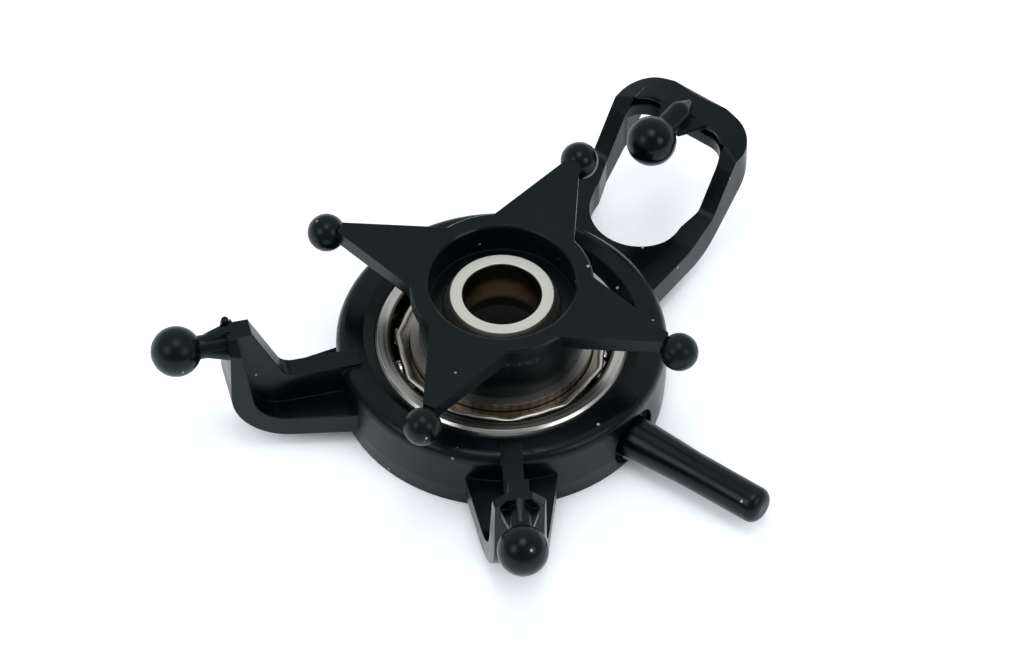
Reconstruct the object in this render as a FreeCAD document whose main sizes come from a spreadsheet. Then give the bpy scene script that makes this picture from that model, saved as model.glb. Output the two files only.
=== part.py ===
import FreeCAD, Part
import math
import os
import Sketcher

# Swashplate of a micro helicopter with a 3 mm main shaft and 140 degree collective-cyclic mixing.
# A fixed plate carries three servo balls and an anti-rotation pin.  A star with four link balls
# turns with the shaft on a thin ball bearing pressed into the plate.  A steel pivot ball slides
# on the shaft, sits in a spherical socket in the star, and lets the whole stack tilt.
#
# Frame: millimetres and degrees, +Z up along the shaft, origin at the centre of the pivot ball,
# +Y towards the elevator loop.  Angles are counted from +X, counter-clockwise seen from above.

SIZES = [
    # pivot ball
    ("pivot_ball_radius", 2.38, "spherical surface of the pivot ball"),
    ("pivot_ball_half_length", 1.245, "centre of the ball to each flat end"),
    ("shaft_bore_radius", 1.53, "bore for a 3 mm shaft, with its running clearance"),
    ("shaft_bore_chamfer", 0.05, "break of the bore's edges"),
    ("socket_clearance", 0.03, "between the ball and its socket"),
    # ball bearing, 6 x 10 x 2.5
    ("bearing_top", -1.22, "height of the bearing's upper face"),
    ("bearing_width", 2.5, ""),
    ("bearing_bore_radius", 3.0, ""),
    ("bearing_outer_radius", 5.0, ""),
    ("bearing_land_gap", 0.8, "between the two races beside the grooves"),
    ("race_chamfer", 0.12, ""),
    ("bearing_ball_radius", 0.595, ""),
    ("bearing_ball_count", 11, ""),
    ("groove_clearance", 0.02, "between a ball and each race groove"),
    ("cage_recess", 0.4, "race's upper face down to the cage"),
    ("cage_clearance", 0.04, "inner race to the cage"),
    ("cage_width", 0.42, "flat ring of the cage"),
    ("cage_thickness", 0.13, "pressed sheet"),
    ("cage_tab_clearance", 0.2, "tabs between the balls to the outer race"),
    ("cage_tab_width", 0.8, ""),
    # fixed plate
    ("plate_wall", 1.5, "bearing seat to the outer wall"),
    ("plate_rim_rise", 0.15, "flat rim above the bearing"),
    ("seat_lip_thickness", 0.25, "under the bearing, down to the face the part rests on"),
    ("plate_edge_round", 0.45, "outer top edge"),
    ("plate_parting_rise", 0.85, "base to where the wall's draft changes"),
    ("plate_draft", 0.06, "how far the wall leans in below the parting line"),
    ("seat_bevel_width", 0.46, "bevel from the rim down to the bearing"),
    ("seat_bevel_depth", 0.23, ""),
    ("seat_lip_width", 0.4, "lip under the outer race"),
    # servo arms
    ("servo_arm_angle", 50.0, "front arm, clockwise from +X; the left arm mirrors it"),
    ("servo_ball_circle", 13.0, "shaft to the centre of each side servo ball"),
    ("servo_ball_height", 1.28, ""),
    ("servo_ball_radius", 1.0, ""),
    ("stud_neck_radius", 0.47, "neck behind each servo ball"),
    ("stud_neck_start", 1.05, "ball centre to where the neck widens"),
    ("stud_cone_radius", 0.8, "wide end of the ribbed cone on an arm"),
    ("stud_rib_thickness", 0.32, "ribs of that cone"),
    ("arm_embed", 0.8, "how deep arms and pin start inside the plate's wall"),
    ("arm_bottom", -3.28, ""),
    ("arm_top_rise", 0.69, "servo ball's height up to the top of upright and web"),
    ("arm_flange_thickness", 0.95, "level part of the arm's flange"),
    ("arm_bend_inner_radius", 1.35, "inside of the flange's bend"),
    ("arm_bend_radius", 2.3, "outside of the flange's bend"),
    ("stud_length", 1.95, "ball centre to the upright's outer face"),
    ("arm_upright_top_thickness", 0.37, "the upright is drafted on its inner side"),
    ("arm_upright_root_thickness", 1.0, ""),
    ("arm_root_half_width", 1.91, "flange at the plate"),
    ("arm_tip_half_width", 0.96, "flange at the upright"),
    ("arm_crown_half_width", 0.49, "top of the upright between its bevelled corners"),
    ("arm_web_thickness", 0.8, ""),
    ("arm_web_top", -0.92, ""),
    ("arm_web_run", 1.34, "length of the web's slope"),
    ("arm_web_heel_round", 0.7, ""),
    ("arm_crest_width", 0.98, "top of the web, in from the upright's face"),
    # elevator loop
    ("loop_ball_reach", 9.96, "shaft to the loop's servo ball"),
    ("loop_half_width", 2.95, "outside of the legs"),
    ("loop_leg_width", 0.7, ""),
    ("loop_embed", 1.2, "how deep the legs start inside the plate's wall"),
    ("loop_bottom", -3.27, ""),
    ("loop_thickness", 1.14, "legs at the plate"),
    ("loop_reach", 13.42, "outer edge of the cross bar"),
    ("loop_top", 1.12, "top of the cross bar at its middle"),
    ("loop_crown_radius", 7.3, "how the bar's top falls towards its ends"),
    ("loop_top_round", 0.35, "outer top edge of the cross bar"),
    ("loop_rise_length", 2.9, "climbing stretch of the underside"),
    ("loop_rise_round", 2.5, ""),
    ("loop_nose_length", 0.92, "steeper stretch from there to the bar's outer face"),
    ("loop_nose_rise", 1.02, ""),
    ("loop_face_height", 0.92, "outer face of the bar"),
    ("loop_step_length", 1.5, "first climb of the legs' upper side"),
    ("loop_step_round", 2.0, ""),
    ("loop_shoulder_length", 1.2, "steep climb"),
    ("loop_shoulder_rise", 1.65, ""),
    ("loop_bar_slope_length", 0.8, "last climb to the bar's top"),
    ("loop_bar_slope_rise", 1.02, ""),
    ("loop_shoulder_round", 0.8, ""),
    ("loop_bar_top_width", 1.32, ""),
    ("loop_bar_width", 1.27, "outer face to inner face of the cross bar"),
    ("loop_bar_depth", 1.29, "top of the cross bar down to its underside"),
    ("loop_bow", 0.32, "how far the outer edge falls back at the corners"),
    ("loop_corner_round", 1.3, ""),
    ("loop_bow_half_width", 0.6, "straight middle of the bowed outer edge"),
    ("loop_bow_round", 3.0, ""),
    ("hole_root_gap", 0.75, "plate's wall to the loop's hole"),
    ("hole_root_radius", 2.0, "round root of the hole"),
    ("hole_corner_round", 0.95, "between the legs and the bar"),
    ("groove_half_length", 2.2, "groove along the bar's inner face"),
    ("groove_height", 0.35, ""),
    ("groove_depth", 0.35, ""),
    ("groove_drop", 0.35, "top of the cross bar down to the groove"),
    ("gusset_length", 1.15, "flare from the loop's neck into the bar"),
    ("gusset_overlap", 0.15, ""),
    ("gusset_end_half_width", 1.2, ""),
    ("gusset_thickness", 0.28, ""),
    ("gusset_drop", 0.06, "top of the cross bar down to the gusset"),
    ("neck_tail_lead", 0.2, "bar's inner face back to where the neck starts to sink in"),
    ("neck_tail_length", 0.6, ""),
    ("neck_tail_radius", 0.12, ""),
    # anti-rotation pin
    ("pin_height", -2.82, ""),
    ("pin_root_radius", 0.87, "inside the plate's wall, where the taper starts"),
    ("pin_radius", 0.735, "parallel working end"),
    ("pin_parallel_start", 9.3, ""),
    ("pin_reach", 12.65, ""),
    ("pin_tip_round", 0.45, ""),
    ("pin_pocket_radius", 1.2, "round recess in the wall at the pin's root"),
    ("pin_pocket_depth", 0.35, ""),
    # star
    ("star_angle", 12.5, "first arm, from +X"),
    ("star_arm_count", 4, ""),
    ("star_top", 1.97, ""),
    ("star_overhang", 0.35, "hub beyond the skirt"),
    ("star_hub_round", 0.08, ""),
    ("star_arm_thickness", 0.69, ""),
    ("star_shoulder", 0.25, "skirt beyond the bearing's bore, resting on the inner race"),
    ("star_skirt_top", 0.9, ""),
    ("star_skirt_wall", 0.37, "between the skirt and the open recess round the pivot ball"),
    ("star_recess_floor", 0.62, ""),
    ("star_recess_chamfer", 0.08, ""),
    ("star_ball_circle", 7.53, "shaft to each link ball"),
    ("star_ball_drop", 0.61, "top of the star down to the link balls' centres"),
    ("star_ball_radius", 0.75, ""),
    ("star_arm_root", 3.1, ""),
    ("star_arm_root_half_width", 1.7, ""),
    ("star_arm_tip_gap", 0.58, "link ball's centre back to the arm's tip"),
    ("star_arm_tip_half_width", 0.25, ""),
    ("snap_lip", 0.14, "how far the snap fingers hook under the inner race"),
    ("snap_lip_height", 0.2, ""),
    ("snap_slot_width", 0.5, ""),
    ("snap_slot_length", 1.3, ""),
    ("socket_mouth_depth", 1.42, "below the ball's centre, where the shaft opening starts"),
    ("shaft_opening_radius", 2.3, "mouth for the tilted shaft at the bottom of the star"),
]


class Size:
    """A number together with the sheet expression that gives it."""

    def __init__(self, value, text=None):
        self.value = float(value)
        self.text = text if text is not None else repr(float(value))

    def _join(self, sign, other, value):
        return Size(value, f"({self.text} {sign} {as_size(other).text})")

    def __add__(self, other):
        return self._join("+", other, self.value + as_size(other).value)

    def __sub__(self, other):
        return self._join("-", other, self.value - as_size(other).value)

    def __mul__(self, other):
        return self._join("*", other, self.value * as_size(other).value)

    def __truediv__(self, other):
        return self._join("/", other, self.value / as_size(other).value)

    def __neg__(self):
        return Size(-self.value, f"(0 - {self.text})")


def as_size(number):
    return number if isinstance(number, Size) else Size(number)


def leg_of(hypotenuse, other_leg):
    """The second leg of a right triangle, as on a circle of the first radius."""
    value = math.sqrt(hypotenuse.value**2 - other_leg.value**2)
    return Size(value, f"sqrt({hypotenuse.text} * {hypotenuse.text} - {other_leg.text} * {other_leg.text})")


class SizeBook:
    """Each row of the sheet as an attribute."""

    def __init__(self, rows):
        for alias, value, _note in rows:
            setattr(self, alias, Size(value, f"Sizes.{alias}"))


doc = FreeCAD.newDocument("swashplate")
size = SizeBook(SIZES)
ORIGIN = FreeCAD.Vector(0, 0, 0)
X_AXIS = FreeCAD.Vector(1, 0, 0)
Y_AXIS = FreeCAD.Vector(0, 1, 0)
Z_AXIS = FreeCAD.Vector(0, 0, 1)
# Rotations that lay a sketch's own X and Y along the row's axes.
FACING = {
    "XY": FreeCAD.Rotation(),
    "XZ": FreeCAD.Rotation(X_AXIS, 90),
    "YZ": FreeCAD.Rotation(FreeCAD.Vector(1, 1, 1), 120),
}
ZERO = Size(0)

# Places that follow from the sizes.
bearing_bottom = size.bearing_top - size.bearing_width
bearing_middle = size.bearing_top - size.bearing_width / 2
groove_radius = size.bearing_ball_radius + size.groove_clearance
pitch_radius = (size.bearing_bore_radius + size.bearing_outer_radius) / 2
inner_land = pitch_radius - size.bearing_land_gap / 2
outer_land = pitch_radius + size.bearing_land_gap / 2
plate_radius = size.bearing_outer_radius + size.plate_wall
plate_top = size.bearing_top + size.plate_rim_rise
plate_bottom = bearing_bottom - size.seat_lip_thickness
arm_foot = plate_radius - size.arm_embed
arm_top = size.servo_ball_height + size.arm_top_rise
upright_outer = size.servo_ball_circle - size.stud_length
web_crest = upright_outer - size.arm_crest_width
web_heel = web_crest - size.arm_web_run
loop_foot = plate_radius - size.loop_embed
bar_inner = size.loop_reach - size.loop_bar_width
bar_crest = size.loop_reach - size.loop_bar_top_width
shoulder_end = bar_crest - size.loop_bar_slope_length
shoulder_end_height = size.loop_top - size.loop_bar_slope_rise
shoulder_start = shoulder_end - size.loop_shoulder_length
skirt_radius = size.bearing_bore_radius + size.star_shoulder
hub_radius = skirt_radius + size.star_overhang
recess_radius = skirt_radius - size.star_skirt_wall


def make_sheet():
    sheet = doc.addObject("Spreadsheet::Sheet", "Sizes")
    for row, (alias, value, note) in enumerate(SIZES, start=1):
        sheet.set(f"A{row}", alias)
        sheet.set(f"B{row}", str(value))
        sheet.set(f"C{row}", note)
        sheet.setAlias(f"B{row}", alias)
    doc.recompute()
    return sheet


# ---------------------------------------------------------------- sketches


def bind(thing, path, amount):
    """Tie one property to the sheet."""
    thing.setExpression(path, as_size(amount).text)


def pin_down(sketch, element, end, corner):
    """Hold one point of a sketch at the given sizes."""
    for kind, amount in (("DistanceX", corner[0]), ("DistanceY", corner[1])):
        rule = Sketcher.Constraint(kind, -1, 1, element, end, as_size(amount).value)
        bind(sketch, f"Constraints[{sketch.addConstraint(rule)}]", amount)


def hold_radius(sketch, element, radius):
    rule = Sketcher.Constraint("Radius", element, radius.value)
    bind(sketch, f"Constraints[{sketch.addConstraint(rule)}]", radius)


def hold_arc(sketch, arc, radius, start, end):
    """Hold an arc's radius, or the level of its centre where it is half a circle."""
    chord = flat(end) - flat(start)
    if chord.Length < radius.value * 1.999:
        hold_radius(sketch, arc, radius)
        return
    kind, amount = ("DistanceY", start[1]) if abs(chord.x) > abs(chord.y) else ("DistanceX", start[0])
    rule = Sketcher.Constraint(kind, -1, 1, arc, 3, as_size(amount).value)
    bind(sketch, f"Constraints[{sketch.addConstraint(rule)}]", amount)


def flat(corner):
    return FreeCAD.Vector(as_size(corner[0]).value, as_size(corner[1]).value, 0)


def draw_arc(sketch, start, end, radius, turn):
    """An arc from start to end; turn is 1 where it runs counter-clockwise, -1 where clockwise."""
    chord = end - start
    middle = (start + end) * 0.5
    across = FreeCAD.Vector(-chord.y, chord.x, 0).normalize()
    rise = math.sqrt(max(radius**2 - (chord.Length / 2) ** 2, 0))
    centre = middle + across * rise * turn
    first, last = (start, end) if turn > 0 else (end, start)
    angles = [math.atan2(point.y - centre.y, point.x - centre.x) for point in (first, last)]
    circle = Part.Circle(centre, Z_AXIS, radius)
    return sketch.addGeometry(Part.ArcOfCircle(circle, angles[0], angles[1]))


def draw_outline(sketch, corners, rounds=None, arcs=None):
    """Close an outline through the corners.

    rounds gives a radius for a corner that a tangent arc rounds off.
    arcs gives (radius, turn) for a side that is an arc to the next corner.
    """
    rounds = rounds or {}
    arcs = arcs or {}
    count = len(corners)
    points = [flat(corner) for corner in corners]
    entry = list(points)
    leave = list(points)
    for index, radius in rounds.items():
        before = (points[index - 1] - points[index]).normalize()
        after = (points[(index + 1) % count] - points[index]).normalize()
        half_angle = math.acos(max(-1, min(1, before.dot(after)))) / 2
        setback = radius.value / math.tan(half_angle)
        entry[index] = points[index] + before * setback
        leave[index] = points[index] + after * setback

    sides = []
    for index in range(count):
        following = (index + 1) % count
        if index in arcs:
            radius, turn = arcs[index]
            side = draw_arc(sketch, leave[index], entry[following], radius.value, turn)
            hold_arc(sketch, side, radius, corners[index], corners[following])
            sides.append((side, 1, 2) if turn > 0 else (side, 2, 1))
        else:
            side = sketch.addGeometry(Part.LineSegment(leave[index], entry[following]))
            sides.append((side, 1, 2))

    for index in range(count):
        side_before, _start, end_before = sides[index - 1]
        side_after, start_after, _end = sides[index]
        if index in rounds:
            radius = rounds[index]
            incoming = points[index] - points[index - 1]
            outgoing = points[(index + 1) % count] - points[index]
            turn = 1 if incoming.cross(outgoing).z > 0 else -1
            arc = draw_arc(sketch, entry[index], leave[index], radius.value, turn)
            arc_start, arc_end = (1, 2) if turn > 0 else (2, 1)
            sketch.addConstraint(Sketcher.Constraint("Tangent", side_before, end_before, arc, arc_start))
            sketch.addConstraint(Sketcher.Constraint("Tangent", arc, arc_end, side_after, start_after))
            hold_radius(sketch, arc, radius)
            corner = sketch.addGeometry(Part.Point(points[index]), True)
            sketch.addConstraint(Sketcher.Constraint("PointOnObject", corner, 1, side_before))
            sketch.addConstraint(Sketcher.Constraint("PointOnObject", corner, 1, side_after))
            pin_down(sketch, corner, 1, corners[index])
        else:
            sketch.addConstraint(
                Sketcher.Constraint("Coincident", side_before, end_before, side_after, start_after)
            )
            pin_down(sketch, side_after, start_after, corners[index])
    return sketch


def draw_circle(sketch, centre, radius):
    circle = sketch.addGeometry(Part.Circle(flat(centre), Z_AXIS, radius.value))
    pin_down(sketch, circle, 3, centre)
    hold_radius(sketch, circle, radius)
    return sketch


def free_sketch(name, facing):
    """A sketch of its own, for Part features."""
    sketch = doc.addObject("Sketcher::SketchObject", name)
    sketch.Placement = FreeCAD.Placement(ORIGIN, FACING[facing])
    return sketch


def body_sketch(body, name, plane, offset=None):
    """A sketch on one of a body's own planes, moved along its normal by offset."""
    sketch = body.newObject("Sketcher::SketchObject", name)
    support = [part for part in body.Origin.OriginFeatures if part.Role == f"{plane}_Plane"][0]
    sketch.AttachmentSupport = [(support, "")]
    sketch.MapMode = "FlatFace"
    if offset is not None:
        bind(sketch, "AttachmentOffset.Base.z", offset)
    return sketch


# ---------------------------------------------------------------- features


def extrude(name, sketch, length):
    """Extrude a sketch by length, half to each side of its plane."""
    solid = doc.addObject("Part::Extrusion", name)
    solid.Base = sketch
    solid.DirMode = "Normal"
    solid.Symmetric = True
    solid.Solid = True
    bind(solid, "LengthFwd", length)
    return solid


def spin(name, sketch, axis, through=None):
    """Turn a sketch a full circle round an axis."""
    solid = doc.addObject("Part::Revolution", name)
    solid.Source = sketch
    solid.Axis = axis
    solid.Base = ORIGIN
    solid.Angle = 360
    solid.Solid = True
    for letter, amount in (through or {}).items():
        bind(solid, f"Base.{letter}", amount)
    return solid


def sphere(name, radius, place):
    ball = doc.addObject("Part::Sphere", name)
    bind(ball, "Radius", radius)
    for letter, amount in zip("xyz", place):
        bind(ball, f"Placement.Base.{letter}", amount)
    return ball


def boolean(kind, name, base, tool):
    result = doc.addObject(f"Part::{kind}", name)
    result.Base = base
    result.Tool = tool
    return result


def fuse(name, solids):
    result = doc.addObject("Part::MultiFuse", name)
    result.Shapes = solids
    result.Refine = True
    return result


def new_body(label):
    body = doc.addObject("PartDesign::Body", f"{label}_body")
    body.Label = label
    return body


def body_feature(body, kind, name, sketch=None, **settings):
    feature = body.newObject(f"PartDesign::{kind}", name)
    if sketch is not None:
        feature.Profile = sketch
    for key, setting in settings.items():
        if isinstance(setting, Size):
            bind(feature, key, setting)
        else:
            setattr(feature, key, setting)
    return feature


def revolve_body(body, name, sketch, kind="Revolution"):
    """Revolve a sketch on a body's XZ plane round the Z axis."""
    return body_feature(body, kind, name, sketch, ReferenceAxis=(sketch, ["V_Axis"]), Angle=360)


def polar(body, name, originals, count, angle=360):
    """Repeat features round the Z axis."""
    z_axis = [part for part in body.Origin.OriginFeatures if part.Role == "Z_Axis"][0]
    pattern = body.newObject("PartDesign::PolarPattern", name)
    pattern.Originals = originals
    pattern.Axis = (z_axis, [""])
    pattern.Angle = angle
    bind(pattern, "Occurrences", count)
    body.Tip = pattern
    return pattern


# ---------------------------------------------------------------- pivot ball


def make_pivot_ball():
    """A steel ball with two flat ends, bored for the shaft."""
    body = new_body("pivot_ball")
    flat_radius = leg_of(size.pivot_ball_radius, size.pivot_ball_half_length)
    end = size.pivot_ball_half_length
    bore = size.shaft_bore_radius
    mouth = bore + size.shaft_bore_chamfer
    chamfered = end - size.shaft_bore_chamfer
    sketch = body_sketch(body, "ball_section", "XZ")
    corners = [
        (mouth, -end),
        (flat_radius, -end),
        (flat_radius, end),
        (mouth, end),
        (bore, chamfered),
        (bore, -chamfered),
    ]
    draw_outline(sketch, corners, arcs={1: (size.pivot_ball_radius, 1)})
    revolve_body(body, "ball_turning", sketch)
    return body


# ---------------------------------------------------------------- bearing


def make_inner_race():
    body = new_body("bearing_inner_race")
    half_groove = leg_of(groove_radius, pitch_radius - inner_land)
    bore = size.bearing_bore_radius
    chamfer = size.race_chamfer
    sketch = body_sketch(body, "inner_race_section", "XZ")
    corners = [
        (bore + chamfer, bearing_bottom),
        (inner_land, bearing_bottom),
        (inner_land, bearing_middle - half_groove),
        (inner_land, bearing_middle + half_groove),
        (inner_land, size.bearing_top),
        (bore + chamfer, size.bearing_top),
        (bore, size.bearing_top - chamfer),
        (bore, bearing_bottom + chamfer),
    ]
    draw_outline(sketch, corners, arcs={2: (groove_radius, -1)})
    revolve_body(body, "inner_race_turning", sketch)
    return body


def make_outer_race():
    body = new_body("bearing_outer_race")
    half_groove = leg_of(groove_radius, outer_land - pitch_radius)
    rim = size.bearing_outer_radius
    chamfer = size.race_chamfer
    sketch = body_sketch(body, "outer_race_section", "XZ")
    corners = [
        (outer_land, bearing_bottom),
        (rim - chamfer, bearing_bottom),
        (rim, bearing_bottom + chamfer),
        (rim, size.bearing_top - chamfer),
        (rim - chamfer, size.bearing_top),
        (outer_land, size.bearing_top),
        (outer_land, bearing_middle + half_groove),
        (outer_land, bearing_middle - half_groove),
    ]
    draw_outline(sketch, corners, arcs={6: (groove_radius, -1)})
    revolve_body(body, "outer_race_turning", sketch)
    return body


def make_cage():
    """A pressed cage in two halves: flat rings over and under the balls, joined by tabs between them."""
    body = new_body("bearing_cage_upper")
    sheet = size.cage_thickness
    top = size.bearing_top - size.cage_recess
    inner = inner_land + size.cage_clearance
    outer = inner + size.cage_width
    rim = outer_land - size.cage_tab_clearance
    half_tab = size.cage_tab_width / 2

    ring_plan = body_sketch(body, "cage_ring_plan", "XY", top - sheet)
    draw_circle(ring_plan, (ZERO, ZERO), inner)
    draw_circle(ring_plan, (ZERO, ZERO), outer)
    body_feature(body, "Pad", "cage_ring", ring_plan, Length=sheet)

    lobe_plan = body_sketch(body, "lobe_plan", "XY", top - sheet)
    near = (inner + outer) / 2
    draw_outline(lobe_plan, [(near, -half_tab), (rim, -half_tab), (rim, half_tab), (near, half_tab)])
    lobe = body_feature(body, "Pad", "lobe", lobe_plan, Length=sheet)

    tab_plan = body_sketch(body, "tab_plan", "XY", bearing_middle)
    near = rim - sheet
    draw_outline(tab_plan, [(near, -half_tab), (rim, -half_tab), (rim, half_tab), (near, half_tab)])
    tab = body_feature(body, "Pad", "tab", tab_plan, Length=top - bearing_middle)
    polar(body, "cage_tabs", [lobe, tab], size.bearing_ball_count)
    bind(body, "Placement.Rotation.Angle", Size(180) / size.bearing_ball_count)

    lower = doc.addObject("Part::Mirroring", "bearing_cage_lower_mirror")
    lower.Label = "bearing_cage_lower"
    lower.Source = body
    lower.Normal = Z_AXIS
    bind(lower, "Base.z", bearing_middle)
    return [body, lower]


def make_bearing_balls():
    balls = []
    for index in range(int(size.bearing_ball_count.value)):
        turn = f"({index} * 360 deg / {size.bearing_ball_count.text})"
        place = (
            Size(0, f"{pitch_radius.text} * cos{turn}"),
            Size(0, f"{pitch_radius.text} * sin{turn}"),
            bearing_middle,
        )
        ball = sphere(f"bearing_ball_{index + 1:02d}_sphere", size.bearing_ball_radius, place)
        ball.Label = f"bearing_ball_{index + 1:02d}"
        balls.append(ball)
    return balls


# ---------------------------------------------------------------- fixed plate


def make_plate_ring():
    """The round plate with its bearing seat."""
    seat = size.bearing_outer_radius
    bevel_foot = plate_top - size.seat_bevel_depth
    rim = plate_radius
    section = free_sketch("plate_section", "XZ")
    corners = [
        (seat - size.seat_lip_width, plate_bottom),
        (rim - size.plate_draft, plate_bottom),
        (rim, plate_bottom + size.plate_parting_rise),
        (rim, plate_top),
        (seat + size.seat_bevel_width, plate_top),
        (seat, bevel_foot),
        (seat, bearing_bottom),
        (seat - size.seat_lip_width, bearing_bottom),
    ]
    draw_outline(section, corners, rounds={3: size.plate_edge_round})
    return spin("plate_ring", section, Z_AXIS)


def make_stud(name, ball_place, profile, tail_round=None):
    """A servo ball on its neck, turned round a level axis along the sketch's X.

    profile holds places along the axis with their radii, from the root to where the neck begins.
    """
    height = size.servo_ball_height
    section = free_sketch(f"{name}_section", "XZ")
    corners = [(profile[0][0], height)]
    corners += [(place, height + radius) for place, radius in profile]
    corners += [(ball_place, height + size.stud_neck_radius), (ball_place, height)]
    draw_outline(section, corners, rounds={2: tail_round} if tail_round else None)
    neck = spin(f"{name}_neck", section, X_AXIS, {"z": height})
    ball = sphere(f"{name}_ball", size.servo_ball_radius, (ball_place, ZERO, height))
    return [neck, ball]


def make_ribbed_cone(root, tip):
    """The cone behind an arm's neck, cored out so that four ribs are left."""
    height = size.servo_ball_height
    wide = size.stud_cone_radius
    section = free_sketch("cone_section", "XZ")
    corners = [
        (root, height),
        (root, height + wide),
        (upright_outer, height + wide),
        (tip, height + size.stud_neck_radius),
        (tip, height),
    ]
    cone = spin("cone", draw_outline(section, corners), X_AXIS, {"z": height})

    half = size.stud_rib_thickness / 2
    ribs = free_sketch("rib_cross", "YZ")
    corners = [
        (half, height - wide),
        (half, height - half),
        (wide, height - half),
        (wide, height + half),
        (half, height + half),
        (half, height + wide),
        (-half, height + wide),
        (-half, height + half),
        (-wide, height + half),
        (-wide, height - half),
        (-half, height - half),
        (-half, height - wide),
    ]
    cross = extrude("rib_bars", draw_outline(ribs, corners), size.servo_ball_circle * 2)
    return boolean("Common", "ribbed_cone", cone, cross)


def make_flange():
    """The arm's flange: a bent strip, tapered in plan, with the upright's top corners bevelled."""
    outer = upright_outer
    bottom = size.arm_bottom
    shelf = bottom + size.arm_flange_thickness
    root_half = size.arm_root_half_width

    side = free_sketch("flange_side", "XZ")
    corners = [
        (arm_foot, bottom),
        (outer, bottom),
        (outer, arm_top),
        (outer - size.arm_upright_top_thickness, arm_top),
        (outer - size.arm_upright_root_thickness, shelf),
        (arm_foot, shelf),
    ]
    draw_outline(side, corners, rounds={1: size.arm_bend_radius, 4: size.arm_bend_inner_radius})
    strip = extrude("flange_strip", side, root_half * 2)

    plan = free_sketch("flange_plan", "XY")
    tip_half = size.arm_tip_half_width
    draw_outline(plan, [(arm_foot, -root_half), (outer, -tip_half), (outer, tip_half), (arm_foot, root_half)])
    taper = extrude("flange_taper", plan, (arm_top - bottom) * 2)

    front = free_sketch("flange_front", "YZ")
    crown = size.arm_crown_half_width
    bevel_foot = arm_top - (root_half - crown)
    corners = [
        (-root_half, bottom),
        (root_half, bottom),
        (root_half, bevel_foot),
        (crown, arm_top),
        (-crown, arm_top),
        (-root_half, bevel_foot),
    ]
    bevels = extrude("flange_bevels", draw_outline(front, corners), outer * 2)
    return boolean("Common", "flange", boolean("Common", "flange_tapered", strip, taper), bevels)


def make_servo_arm():
    """One side arm, laid along +X: the flange stiffened by a web, with its ball stud."""
    bend = size.arm_bend_inner_radius
    deep = size.arm_bottom + size.arm_flange_thickness / 2
    buried = upright_outer - size.arm_upright_top_thickness / 2
    web_side = free_sketch("web_side", "XZ")
    corners = [
        (arm_foot, deep),
        (buried - bend, deep),
        (buried, deep + bend),
        (buried, arm_top),
        (web_crest, arm_top),
        (web_heel, size.arm_web_top),
        (arm_foot, size.arm_web_top),
    ]
    draw_outline(web_side, corners, rounds={5: size.arm_web_heel_round})
    web = extrude("web", web_side, size.arm_web_thickness)

    neck_start = size.servo_ball_circle - size.stud_neck_start
    neck = size.stud_neck_radius
    stud = make_stud("servo_stud", size.servo_ball_circle, [(buried, neck), (neck_start, neck)])
    arm = fuse("servo_arm", [make_flange(), web, make_ribbed_cone(buried, neck_start)] + stud)
    arm.Placement = FreeCAD.Placement(ORIGIN, FreeCAD.Rotation(Z_AXIS, -size.servo_arm_angle.value))
    bind(arm, "Placement.Rotation.Angle", -size.servo_arm_angle)
    mirrored = doc.addObject("Part::Mirroring", "servo_arm_left")
    mirrored.Source = arm
    mirrored.Normal = X_AXIS
    return [arm, mirrored]


def make_loop_frame():
    """The loop before it is pierced: a side profile trimmed to the plan's rounded outline."""
    bottom = size.loop_bottom
    nose_height = size.loop_top - size.loop_face_height
    rise_end = size.loop_reach - size.loop_nose_length
    side = free_sketch("loop_side", "YZ")
    corners = [
        (loop_foot, bottom),
        (rise_end - size.loop_rise_length, bottom),
        (rise_end, nose_height - size.loop_nose_rise),
        (size.loop_reach, nose_height),
        (size.loop_reach, size.loop_top),
        (bar_crest, size.loop_top),
        (shoulder_end, shoulder_end_height),
        (shoulder_start, shoulder_end_height - size.loop_shoulder_rise),
        (shoulder_start - size.loop_step_length, bottom + size.loop_thickness),
        (loop_foot, bottom + size.loop_thickness),
    ]
    rounds = {
        1: size.loop_rise_round,
        4: size.loop_top_round,
        6: size.loop_shoulder_round,
        7: size.loop_shoulder_round,
        8: size.loop_step_round,
    }
    draw_outline(side, corners, rounds=rounds)
    strip = extrude("loop_strip", side, size.loop_half_width * 2)

    width = size.loop_half_width
    middle = size.loop_bow_half_width
    corner_reach = size.loop_reach - size.loop_bow
    plan = free_sketch("loop_plan", "XY")
    corners = [
        (-width, loop_foot),
        (width, loop_foot),
        (width, corner_reach),
        (middle, size.loop_reach),
        (-middle, size.loop_reach),
        (-width, corner_reach),
    ]
    rounds = {
        2: size.loop_corner_round,
        3: size.loop_bow_round,
        4: size.loop_bow_round,
        5: size.loop_corner_round,
    }
    draw_outline(plan, corners, rounds=rounds)
    block = extrude("loop_block", plan, (size.loop_top - bottom) * 4)

    front = free_sketch("loop_crown", "XZ")
    crown = size.loop_crown_radius
    end_height = size.loop_top - crown + leg_of(crown, width)
    corners = [(-width, bottom), (width, bottom), (width, end_height), (-width, end_height)]
    draw_outline(front, corners, arcs={2: (crown, 1)})
    crowned = extrude("loop_crowned", front, size.loop_reach * 2)
    return boolean("Common", "loop_frame", boolean("Common", "loop_trimmed", strip, block), crowned)


def make_gusset():
    """The flare that carries the loop's neck into the bar."""
    plan = free_sketch("gusset_plan", "XY")
    middle = size.loop_top - size.gusset_drop - size.gusset_thickness / 2
    bind(plan, "Placement.Base.z", middle)
    far = bar_inner + size.gusset_overlap
    near = far - size.gusset_length
    half, wide = size.stud_neck_radius, size.gusset_end_half_width
    draw_outline(plan, [(half, near), (wide, far), (-wide, far), (-half, near)])
    return extrude("gusset", plan, size.gusset_thickness)


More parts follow.
